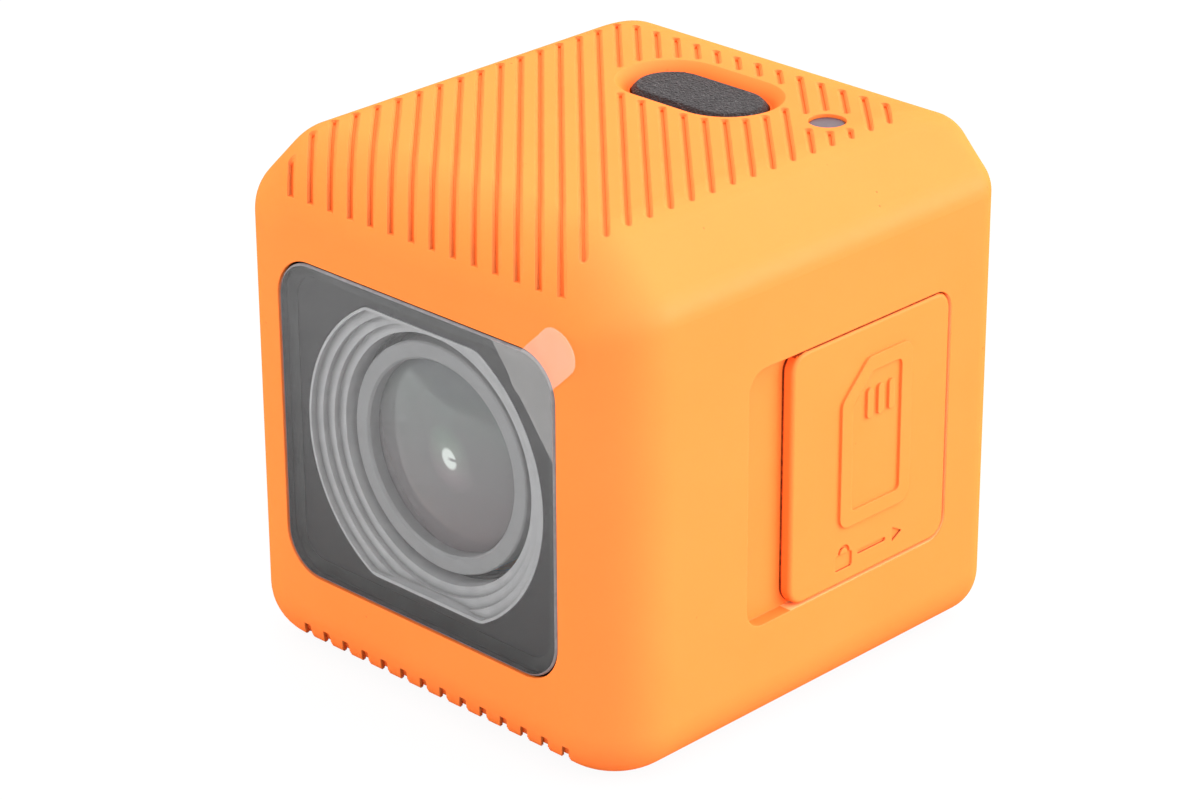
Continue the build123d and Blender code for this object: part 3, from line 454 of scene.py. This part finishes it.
def milky_film():
    """The pull tab: milky film that lets about half of the light through."""
    g = Graph("film_tab")
    p = g.coords()
    d = g.nt.nodes.new("ShaderNodeBsdfDiffuse")
    at = g.nt.nodes.new("ShaderNodeSeparateXYZ")
    g.nt.links.new(p, at.inputs[0])
    along = g.math(
        "ADD", g.math("MULTIPLY", g.math("SUBTRACT", at.outputs["X"], 12.2), 0.719),
        g.math("MULTIPLY", g.math("SUBTRACT", at.outputs["Z"], 29.7), 0.695),
    )
    tongue = g.remap(along, 0.0, 0.5, 0.0, 1.0)
    col = g.ramp(g.noise(p, 0.7, 3.0), [(0.3, (0.90, 0.88, 0.87)), (0.7, (0.96, 0.94, 0.93))])
    col = g.mix(tongue, col, (1.0, 0.96, 0.86))
    g.nt.links.new(col, d.inputs["Color"])
    clear = g.nt.nodes.new("ShaderNodeBsdfTransparent")
    gloss = g.nt.nodes.new("ShaderNodeBsdfGlossy")
    gloss.inputs["Roughness"].default_value = 0.18
    body = g.nt.nodes.new("ShaderNodeMixShader")
    geo = g.nt.nodes.new("ShaderNodeNewGeometry")
    veil = g.math(
        "MULTIPLY",
        g.math("ADD", g.remap(g.noise(p, 0.8, 2.0), 0.3, 0.7, 0.140, 0.160), g.math("MULTIPLY", tongue, 0.025)),
        g.math("SUBTRACT", 1.0, geo.outputs["Backfacing"]),
    )
    g.nt.links.new(veil, body.inputs[0])
    g.nt.links.new(clear.outputs[0], body.inputs[1])
    g.nt.links.new(d.outputs[0], body.inputs[2])
    top = g.nt.nodes.new("ShaderNodeMixShader")
    g.nt.links.new(outward_fresnel(g, 1.45), top.inputs[0])
    g.nt.links.new(body.outputs[0], top.inputs[1])
    g.nt.links.new(gloss.outputs[0], top.inputs[2])
    return g.finish(top.outputs[0])


def brushed(name, dark, light, rough=0.4, metallic=0.0, scale=(0.08, 1.0, 6.0), spec=0.3, bump=0.12):
    g = Graph(name)
    p = g.coords()
    lines = g.noise(g.stretch(p, scale), 2.5, 5.0, 0.65)
    col = g.ramp(lines, [(0.3, dark), (0.7, light)])
    s = g.principled(
        Base_Color=col, Roughness=g.remap(lines, 0.3, 0.7, rough - 0.08, rough + 0.10),
        Metallic=metallic, Normal=g.bump(lines, bump, 0.02), Specular_IOR_Level=spec,
    )
    return g.finish(s.outputs[0])


def moulded(name, dark, light, rough=0.5, scale=4.0, bump=0.2, spec=0.4, metallic=0.0, ao=0.0):
    """Fine-grained plastic or bead-blasted metal."""
    g = Graph(name)
    p = g.coords()
    fine = g.noise(p, scale, 5.0, 0.65)
    col = g.ramp(g.noise(p, scale * 0.15, 3.0), [(0.3, dark), (0.7, light)])
    col = g.mix(g.remap(fine, 0.3, 0.7, 0.0, 0.25), col, light)
    if ao:
        shade = g.remap(g.ao(ao, 6), 0.35, 0.95, 0.75, 0.0)
        col = g.mix(shade, col, tuple(c * 0.35 for c in dark))
    s = g.principled(
        Base_Color=col, Roughness=g.remap(fine, 0.3, 0.7, rough - 0.07, rough + 0.07),
        Normal=g.bump(fine, bump, 0.02), Specular_IOR_Level=spec, Metallic=metallic,
    )
    return g.finish(s.outputs[0])


def coated_lens():
    """Front element: dark depth under a green to pink anti-reflection coating, its tints and a highlight painted in as
    reflection.
    """
    g = Graph("coated_lens")
    p = g.coords()

    def vector(op, a, b=None):
        v = g.nt.nodes.new("ShaderNodeVectorMath")
        v.operation = op
        for i, item in enumerate((a, b)):
            if isinstance(item, bpy.types.NodeSocket):
                g.nt.links.new(item, v.inputs[i])
            elif item is not None:
                v.inputs[i].default_value = tuple(item)
        return v.outputs[0]

    # true sphere normal, so the polished dome shows no facets
    sphere = vector("NORMALIZE", vector("SUBTRACT", p, dome_c / MM))
    look = g.nt.nodes.new("ShaderNodeNewGeometry")
    mirror = vector("REFLECT", vector("MULTIPLY", look.outputs["Incoming"], (-1, -1, -1)), sphere)
    sep = g.nt.nodes.new("ShaderNodeSeparateXYZ")
    g.nt.links.new(p, sep.inputs[0])
    # painted reflection tint: pinkish low on the lens, greenish to bluish higher up
    z = g.remap(sep.outputs["Z"], 11.5, 25.5, 0.0, 1.0)
    z = g.math("ADD", z, g.remap(g.noise(p, 0.5, 2.0), 0.3, 0.7, -0.05, 0.05))
    tint = g.ramp(z, [(0.0, (0.134, 0.100, 0.109)), (0.45, (0.130, 0.114, 0.120)), (0.8, (0.116, 0.123, 0.120)), (1.0, (0.109, 0.112, 0.123))])
    # painted shade: darker towards the rim, where the dome is seen at a glancing angle
    lw = g.nt.nodes.new("ShaderNodeLayerWeight")
    lw.inputs["Blend"].default_value = 0.35
    rim = g.mix(g.remap(lw.outputs["Facing"], 0.0, 0.9, 0.0, 0.5), tint, (0.07, 0.066, 0.07))
    lines = g.noise(g.wiped(p, 5.0, 0.10), 2.4, 3.0)
    col = g.mix(g.remap(lines, 0.35, 0.65, 0.0, 0.20), rim, (0.18, 0.16, 0.167))
    s = g.principled(
        Base_Color=col, Roughness=0.08, Specular_IOR_Level=0.5, Coat_Weight=0.3,
        Coat_Roughness=0.05, Coat_Tint=(0.92, 1.0, 0.95), Normal=sphere,
    )
    s.inputs["Specular Tint"].default_value = (0.94, 1.0, 0.97, 1.0)
    # painted highlight: a lamp's reflection in the dome drawn as emission, a disc split by a slit, placed by mirror
    # direction
    def along(axis):
        d = g.nt.nodes.new("ShaderNodeVectorMath")
        d.operation = "DOT_PRODUCT"
        g.nt.links.new(mirror, d.inputs[0])
        d.inputs[1].default_value = tuple(axis)
        return d.outputs["Value"]

    e1 = highlight_dir.cross(Vector((0, 0, 1))).normalized()
    e2 = highlight_dir.cross(e1).normalized()
    a, b = along(e1), along(e2)
    facing = g.math("GREATER_THAN", along(highlight_dir), 0.0)
    r = g.math("SQRT", g.math("ADD", g.math("MULTIPLY", a, a), g.math("MULTIPLY", b, b)))
    disc = g.math("MULTIPLY", g.remap(r, 0.060, 0.082, 1.0, 0.0), facing)
    slit = g.math(
        "MULTIPLY", g.remap(g.math("ABSOLUTE", b), 0.006, 0.015, 1.0, 0.0),
        g.remap(a, -0.02, 0.02, 1.0, 0.0),
    )
    glow = g.math("MULTIPLY", disc, g.math("SUBTRACT", 1.0, g.math("MULTIPLY", slit, 0.85)))
    # painted reflection: a faint green to pink halo round the highlight
    halo = g.math("MULTIPLY", g.remap(r, 0.07, 0.24, 0.10, 0.0), facing)
    tinted = g.mix(g.remap(b, -0.15, 0.15, 0.0, 1.0), (0.55, 1.0, 0.65), (1.0, 0.6, 0.75))
    colour = g.mix(disc, tinted, (0.95, 1.0, 0.96))
    g.plug(s, "Emission Color", colour)
    g.plug(s, "Emission Strength", g.math("MAXIMUM", g.math("MULTIPLY", glow, 0.62), halo))
    return g.finish(s.outputs[0])


def board_green():
    g = Graph("solder_mask")
    p = g.coords()
    cells = g.voronoi(p, 0.55)
    col = g.ramp(cells.outputs["Distance"], [(0.0, (0.010, 0.070, 0.030)), (0.5, (0.016, 0.105, 0.045)), (1.0, (0.012, 0.080, 0.036))])
    tr = g.voronoi(g.stretch(p, (1.0, 1.0, 1.0)), 0.9, "DISTANCE_TO_EDGE")
    track = g.remap(tr.outputs["Distance"], 0.02, 0.05, 1.0, 0.0)
    col = g.mix(g.math("MULTIPLY", track, 0.5), col, (0.03, 0.20, 0.08))
    s = g.principled(Base_Color=col, Roughness=0.32, Specular_IOR_Level=0.5, Normal=g.bump(track, 0.3, 0.03))
    return g.finish(s.outputs[0])


def light_pipe():
    g = Graph("light_pipe")
    p = g.coords()
    col = g.ramp(g.noise(p, 1.2, 3.0), [(0.3, (0.048, 0.020, 0.030)), (0.7, (0.066, 0.034, 0.045))])
    s = g.principled(
        Base_Color=col, Roughness=0.33, Specular_IOR_Level=0.25, Subsurface_Weight=0.25,
        Subsurface_Radius=(1.0, 0.9, 0.9), Subsurface_Scale=0.0005,
        Normal=g.bump(g.noise(p, 6.0, 3.0), 0.12, 0.02),
    )
    return g.finish(s.outputs[0])


SHELL = orange("shell_orange", recess=True)
DOOR = orange("door_orange", seed=1.0, foot=True)
COVER = orange("cover_orange", seed=2.0)
BUTTON = rubber_black()
GLASS = window_pane()
FILM = thin_glass("clear_film", (0.985, 0.985, 0.988), 0.55, 0.06, streak=0.3, haze=0.023)
TAB = milky_film()
BEZEL = brushed("bezel_dark", (0.006, 0.0055, 0.006), (0.014, 0.013, 0.0135), 0.45, spec=0.2)
HOOD = moulded("hood_grey", (0.285, 0.281, 0.285), (0.355, 0.348, 0.352), 0.55, 5.0, 0.12, 0.3, ao=0.5)
RING = brushed("ring_grey", (0.186, 0.183, 0.186), (0.231, 0.228, 0.231), 0.45, spec=0.3)
OPTIC = coated_lens()
BARREL = moulded("barrel_grey", (0.13, 0.13, 0.13), (0.18, 0.178, 0.18), 0.5, 5.0, 0.15)
NYLON = moulded("black_nylon", (0.012, 0.012, 0.012), (0.035, 0.034, 0.033), 0.5, 3.0, 0.3)
STEEL = brushed("plain_steel", (0.45, 0.45, 0.46), (0.66, 0.66, 0.67), 0.3, metallic=1.0, scale=(0.5, 0.5, 4.0))
BLACK_STEEL = brushed("black_oxide", (0.02, 0.02, 0.022), (0.06, 0.06, 0.062), 0.35, metallic=0.9, scale=(1.0, 1.0, 1.0))
TIN = brushed("tinned_sheet", (0.5, 0.5, 0.49), (0.72, 0.72, 0.70), 0.28, metallic=1.0, scale=(0.4, 2.0, 2.0))
SILICONE = moulded("silicone", (0.30, 0.035, 0.008), (0.42, 0.055, 0.012), 0.55, 3.0, 0.2)
GLUE = moulded("bonding_tape", (0.01, 0.01, 0.01), (0.02, 0.02, 0.02), 0.6, 4.0, 0.1)
BOARD = board_green()
CHIP = moulded("moulded_chip", (0.015, 0.015, 0.016), (0.035, 0.035, 0.036), 0.55, 6.0, 0.3)
PAD = moulded("thermal_pad", (0.25, 0.30, 0.36), (0.35, 0.40, 0.46), 0.7, 2.0, 0.3)
FLEX = moulded("polyimide", (0.28, 0.10, 0.01), (0.42, 0.17, 0.02), 0.25, 1.5, 0.1, 0.6)
CARD = moulded("card_black", (0.012, 0.012, 0.014), (0.03, 0.03, 0.034), 0.35, 3.0, 0.1)
WHITE = moulded("white_nylon", (0.62, 0.61, 0.57), (0.75, 0.74, 0.70), 0.45, 3.0, 0.1)
FOAM = moulded("closed_foam", (0.02, 0.02, 0.02), (0.06, 0.06, 0.06), 0.85, 9.0, 0.8)
POUCH = brushed("foil_pouch", (0.45, 0.46, 0.48), (0.60, 0.61, 0.63), 0.35, metallic=0.8, scale=(1.0, 1.0, 0.6))
SENSOR = moulded("sensor_face", (0.03, 0.045, 0.06), (0.05, 0.07, 0.09), 0.12, 2.0, 0.05, 0.7)
FILTER = thin_glass("infrared_filter", (0.45, 0.75, 0.85), 1.6, 0.0)
MESH = moulded("acoustic_mesh", (0.03, 0.03, 0.03), (0.12, 0.12, 0.12), 0.4, 12.0, 1.0, metallic=0.8)
PIPE = light_pipe()

paint(SHELL, "main_case")
paint(COVER, "rear_cover")
paint(DOOR, "side_door")
paint(SILICONE, "rear_cover_gasket", "door_seal", "button_seal")
paint(BLACK_STEEL, "rear_cover_screws")
paint(STEEL, "chassis_screws", "sensor_screws", "usb_c_socket")
paint(GLASS, "window_glass")
paint(GLUE, "window_adhesive")
paint(BEZEL, "window_bezel")
paint(FILM, "window_film")
paint(TAB, "film_pull_tab")
paint(HOOD, "lens_hood")
paint(RING, "lens_retaining_ring")
paint(OPTIC, "lens_front_element", "lens_inner_element", "lens_rear_element")
paint(FILTER, "ir_filter")
paint(BARREL, "lens_barrel", "lens_spacer", "lens_lock_ring", "lens_mount")
paint(NYLON, "inner_chassis", "usb_c_tongue", "card_ejector")
paint(SENSOR, "image_sensor")
paint(BOARD, "sensor_board", "main_board", "button_board")
paint(CHIP, "processor")
paint(PAD, "thermal_pad")
paint(TIN, "shield_can", "microsd_socket", "tactile_switch", "microphone")
paint(FLEX, "board_flex", "button_flex", "antenna")
paint(CARD, "microsd_card")
paint(POUCH, "battery")
paint(FOAM, "battery_pad")
paint(WHITE, "battery_plug", "switch_plunger", "status_led")
paint(BUTTON, "shutter_button")
paint(PIPE, "led_light_pipe")
paint(MESH, "microphone_mesh")


# ------------------------------------------------------------------ shaped pieces
def tidy_copy(node, name):
    """A welded copy of a CAD node's mesh, to be reshaped."""
    bm = bmesh.new()
    bm.from_mesh(NODES[node].data)
    bmesh.ops.remove_doubles(bm, verts=bm.verts, dist=1e-7)
    mesh = bpy.data.meshes.new(name)
    bm.to_mesh(mesh)
    bm.free()
    return mesh


def smooth_step(t):
    t = min(max(t, 0.0), 1.0)
    return t * t * (3 - 2 * t)


# pull tab: the same outline, with a light curl in the tongue and a crease
bm = bmesh.new()
bm.from_mesh(tidy_copy("film_pull_tab", "tab_base"))
bmesh.ops.triangulate(bm, faces=bm.faces)
for _ in range(3):
    long_edges = [e for e in bm.edges if e.calc_length() > 0.35 * MM]
    if long_edges:
        bmesh.ops.subdivide_edges(bm, edges=long_edges, cuts=2)
        bmesh.ops.triangulate(bm, faces=bm.faces)
for vert in bm.verts:
    x, z = vert.co.x / MM, vert.co.z / MM
    t = (x - 12.2) * 0.719 + (z - 29.7) * 0.695
    w = -(x - 12.2) * 0.695 + (z - 29.7) * 0.719
    if t > 0:
        vert.co.x -= 0.719 * 0.13 * t * MM
        vert.co.z -= 0.695 * 0.13 * t * MM
    lift = 0.16 * smooth_step((t - 0.2) / 3.4) ** 2 * (1.0 + 0.25 * w)
    lift += 0.03 * math.exp(-((t + 0.2) / 0.35) ** 2)
    vert.co.y -= max(lift, 0.0) * MM
tab_mesh = bpy.data.meshes.new("pull_tab_film")
bm.to_mesh(tab_mesh)
bm.free()
pull_tab = bpy.data.objects.new("pull_tab_film", tab_mesh)
tab_mesh.materials.append(TAB)
for poly in tab_mesh.polygons:
    poly.use_smooth = abs(poly.normal.y) > 0.6
scene.collection.objects.link(pull_tab)
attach(pull_tab, "housing")
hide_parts("film_pull_tab")

# shutter cap: leather grain cut into the rubber itself
cap_mesh = tidy_copy("shutter_button", "shutter_cap")
cap = bpy.data.objects.new("shutter_cap", cap_mesh)
scene.collection.objects.link(cap)
remesh = cap.modifiers.new("even", "REMESH")
remesh.mode = "VOXEL"
remesh.voxel_size = 0.05 * MM
bpy.context.view_layer.update()
even = bpy.data.meshes.new_from_object(cap.evaluated_get(bpy.context.evaluated_depsgraph_get()))
cap.modifiers.clear()
cap.data = even
bm = bmesh.new()
bm.from_mesh(even)
for _ in range(2):
    bmesh.ops.smooth_vert(bm, verts=bm.verts, factor=0.5, use_axis_x=True, use_axis_y=True, use_axis_z=True)
bm.normal_update()
cap_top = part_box("shutter_button")[1].z
grain = []
for vert in bm.verts:
    q = vert.co / MM
    near_top = smooth_step((vert.normal.z - 0.80) / 0.15) * smooth_step((q.z - (cap_top / MM - 0.25)) / 0.2)
    pebble = noise.voronoi(Vector((q.x * 2.3, q.y * 2.9, q.z * 2.3)), distance_metric="DISTANCE", exponent=2.5)[0]
    rough = noise.fractal(Vector((q.x * 3.1, q.y * 3.1, q.z * 3.1)), 1.0, 2.0, 4)
    depth = 0.035 * min(pebble[1] - pebble[0], 0.45) / 0.45 + 0.012 * rough - 0.030
    grain.append(vert.normal * depth * near_top * MM)
for vert, move in zip(bm.verts, grain):
    vert.co += move
bm.to_mesh(even)
bm.free()
for poly in even.polygons:
    poly.use_smooth = True
even.materials.clear()
even.materials.append(BUTTON)
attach(cap, "shutter")
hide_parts("shutter_button")


# ------------------------------------------------------------------ stage
floor_mat = Graph("pale_floor")
fp = floor_mat.coords()
floor_col = floor_mat.ramp(floor_mat.noise(fp, 0.004, 3.0), [(0.3, (0.46, 0.46, 0.46)), (0.7, (0.48, 0.48, 0.48))])
floor_diffuse = floor_mat.nt.nodes.new("ShaderNodeBsdfDiffuse")
floor_mat.nt.links.new(floor_col, floor_diffuse.inputs["Color"])
floor_glow = floor_mat.nt.nodes.new("ShaderNodeEmission")
floor_glow.inputs["Strength"].default_value = 1.04
floor_path = floor_mat.nt.nodes.new("ShaderNodeLightPath")
floor_mix = floor_mat.nt.nodes.new("ShaderNodeMixShader")
floor_mat.nt.links.new(
    floor_mat.math("MULTIPLY", floor_path.outputs["Is Camera Ray"], 0.90), floor_mix.inputs[0]
)
floor_mat.nt.links.new(floor_diffuse.outputs[0], floor_mix.inputs[1])
floor_mat.nt.links.new(floor_glow.outputs[0], floor_mix.inputs[2])
floor_mat.finish(floor_mix.outputs[0])
bm = bmesh.new()
bmesh.ops.create_grid(bm, x_segments=8, y_segments=8, size=3.0)
floor_mesh = bpy.data.meshes.new("floor")
bm.to_mesh(floor_mesh)
bm.free()
floor = bpy.data.objects.new("floor", floor_mesh)
floor.location = (0, 0, -0.00002)
floor_mesh.materials.append(floor_mat.mat)
scene.collection.objects.link(floor)

TENT = (1.58, 0.94, 1.10, 0.86)     # mean, then the rise towards +X, +Y and +Z
world = bpy.data.worlds.new("soft_white")
world.use_nodes = True
wn = world.node_tree
bg = wn.nodes["Background"]
bg.inputs["Color"].default_value = (1.0, 1.0, 1.0, 1.0)
wp = wn.nodes.new("ShaderNodeLightPath")
# one very broad light tent, brighter overhead, to the right and behind
wt = wn.nodes.new("ShaderNodeTexCoord")
wd = wn.nodes.new("ShaderNodeVectorMath")
wd.operation = "DOT_PRODUCT"
wd.inputs[1].default_value = TENT[1:]
wn.links.new(wt.outputs["Generated"], wd.inputs[0])
wa = wn.nodes.new("ShaderNodeMath")
wa.operation = "ADD"
wa.inputs[1].default_value = TENT[0]
wn.links.new(wd.outputs["Value"], wa.inputs[0])
wx = wn.nodes.new("ShaderNodeMath")
wx.operation = "MAXIMUM"
wx.inputs[1].default_value = 0.12
wn.links.new(wa.outputs[0], wx.inputs[0])
wm = wn.nodes.new("ShaderNodeMapRange")
wn.links.new(wx.outputs[0], wm.inputs["To Min"])
wm.inputs["To Max"].default_value = 1.05
wn.links.new(wp.outputs["Is Camera Ray"], wm.inputs["Value"])
wn.links.new(wm.outputs["Result"], bg.inputs["Strength"])
scene.world = world


def softbox(name, location, target, size, energy, size_y=None):
    data = bpy.data.lights.new(name, "AREA")
    data.shape = "RECTANGLE"
    data.size = size
    data.size_y = size_y or size
    data.energy = energy
    o = bpy.data.objects.new(name, data)
    o.location = location
    o.rotation_euler = (Vector(target) - Vector(location)).to_track_quat("-Z", "Y").to_euler()
    scene.collection.objects.link(o)
    return o


mid = (cad_lo + cad_hi) / 2
softbox("fill_side", (0.50, 0.42, 0.10), mid, 0.40, 3.0)
fill_front = softbox("fill_front", (-0.45, -0.55, 0.20), mid, 0.40, 3.3)
fill_front.visible_glossy = False

# ------------------------------------------------------------------ camera
cam_data = bpy.data.cameras.new("camera")
cam_data.sensor_fit = "HORIZONTAL"
cam_data.sensor_width = 36.0
cam_data.lens = FOCAL / 1200.0 * 36.0
cam_data.shift_x = -SHIFT_X / 1200.0
cam_data.clip_start = 0.005
cam_data.clip_end = 20.0
cam = bpy.data.objects.new("camera", cam_data)
cam.matrix_world = Matrix(
    (
        (r2.x, u2.x, back.x, eye.x),
        (r2.y, u2.y, back.y, eye.y),
        (r2.z, u2.z, back.z, eye.z),
        (0, 0, 0, 1),
    )
)
scene.collection.objects.link(cam)
scene.camera = cam
scene.view_settings.view_transform = "Standard"
